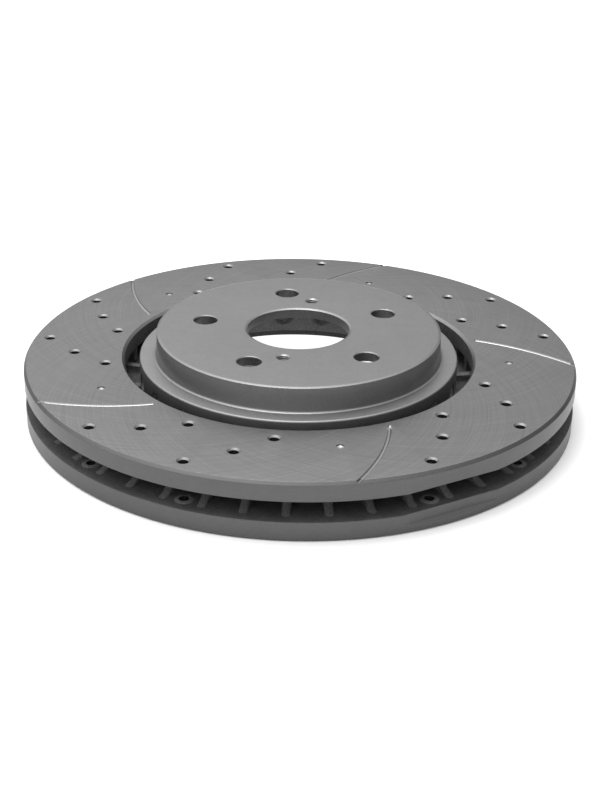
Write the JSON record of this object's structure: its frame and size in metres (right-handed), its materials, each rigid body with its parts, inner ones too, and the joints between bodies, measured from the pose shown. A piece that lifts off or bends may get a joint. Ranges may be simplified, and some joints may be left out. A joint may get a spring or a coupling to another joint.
{
  "type": "ventilated brake disc",
  "caption": "Ventilated car brake disc with a flat-topped hat, drilled and slotted friction rings, curved grooves, wear dimples and straight cooling vanes.",
  "frame": {"origin": "on the disc's axis at the inboard (hub-side) friction face, the bottom of the part", "axes": "+Z along the disc's axis towards the wheel; +X is fixed by the hole pattern: seen from above, the outer hole of one group lies 10.6 degrees anticlockwise of it"},
  "size_m": [0.328, 0.328, 0.0492],
  "materials": {
    "coated_hat": "satin silver-grey zinc-flake coating over fine turning marks",
    "ground_face": "ground with a fine criss-cross of swirl marks, satin sheen",
    "cast_iron": "rough as-cast grey iron, dark"
  },
  "bodies": {
    "root": {"hat": "coated_hat", "neck": "coated_hat", "outboard_plate": "ground_face", "inboard_plate": "ground_face", "vane_01": "cast_iron", "vane_02": "cast_iron", "vane_03": "cast_iron", "vane_04": "cast_iron", "vane_05": "cast_iron", "vane_06": "cast_iron", "vane_07": "cast_iron", "vane_08": "cast_iron", "vane_09": "cast_iron", "vane_10": "cast_iron", "vane_11": "cast_iron", "vane_12": "cast_iron", "vane_13": "cast_iron", "vane_14": "cast_iron", "vane_15": "cast_iron", "vane_16": "cast_iron", "vane_17": "cast_iron", "vane_18": "cast_iron", "vane_19": "cast_iron", "vane_20": "cast_iron", "vane_21": "cast_iron", "vane_22": "cast_iron", "vane_23": "cast_iron", "vane_24": "cast_iron", "vane_25": "cast_iron", "vane_26": "cast_iron", "vane_27": "cast_iron", "vane_28": "cast_iron", "vane_29": "cast_iron", "vane_30": "cast_iron", "vane_31": "cast_iron", "vane_32": "cast_iron", "vane_33": "cast_iron", "vane_34": "cast_iron", "vane_35": "cast_iron", "vane_36": "cast_iron", "vane_37": "cast_iron", "vane_38": "cast_iron", "vane_39": "cast_iron", "vane_40": "cast_iron", "vane_41": "cast_iron", "vane_42": "cast_iron", "vane_43": "cast_iron", "vane_44": "cast_iron"}
  },
  "joints": []
}
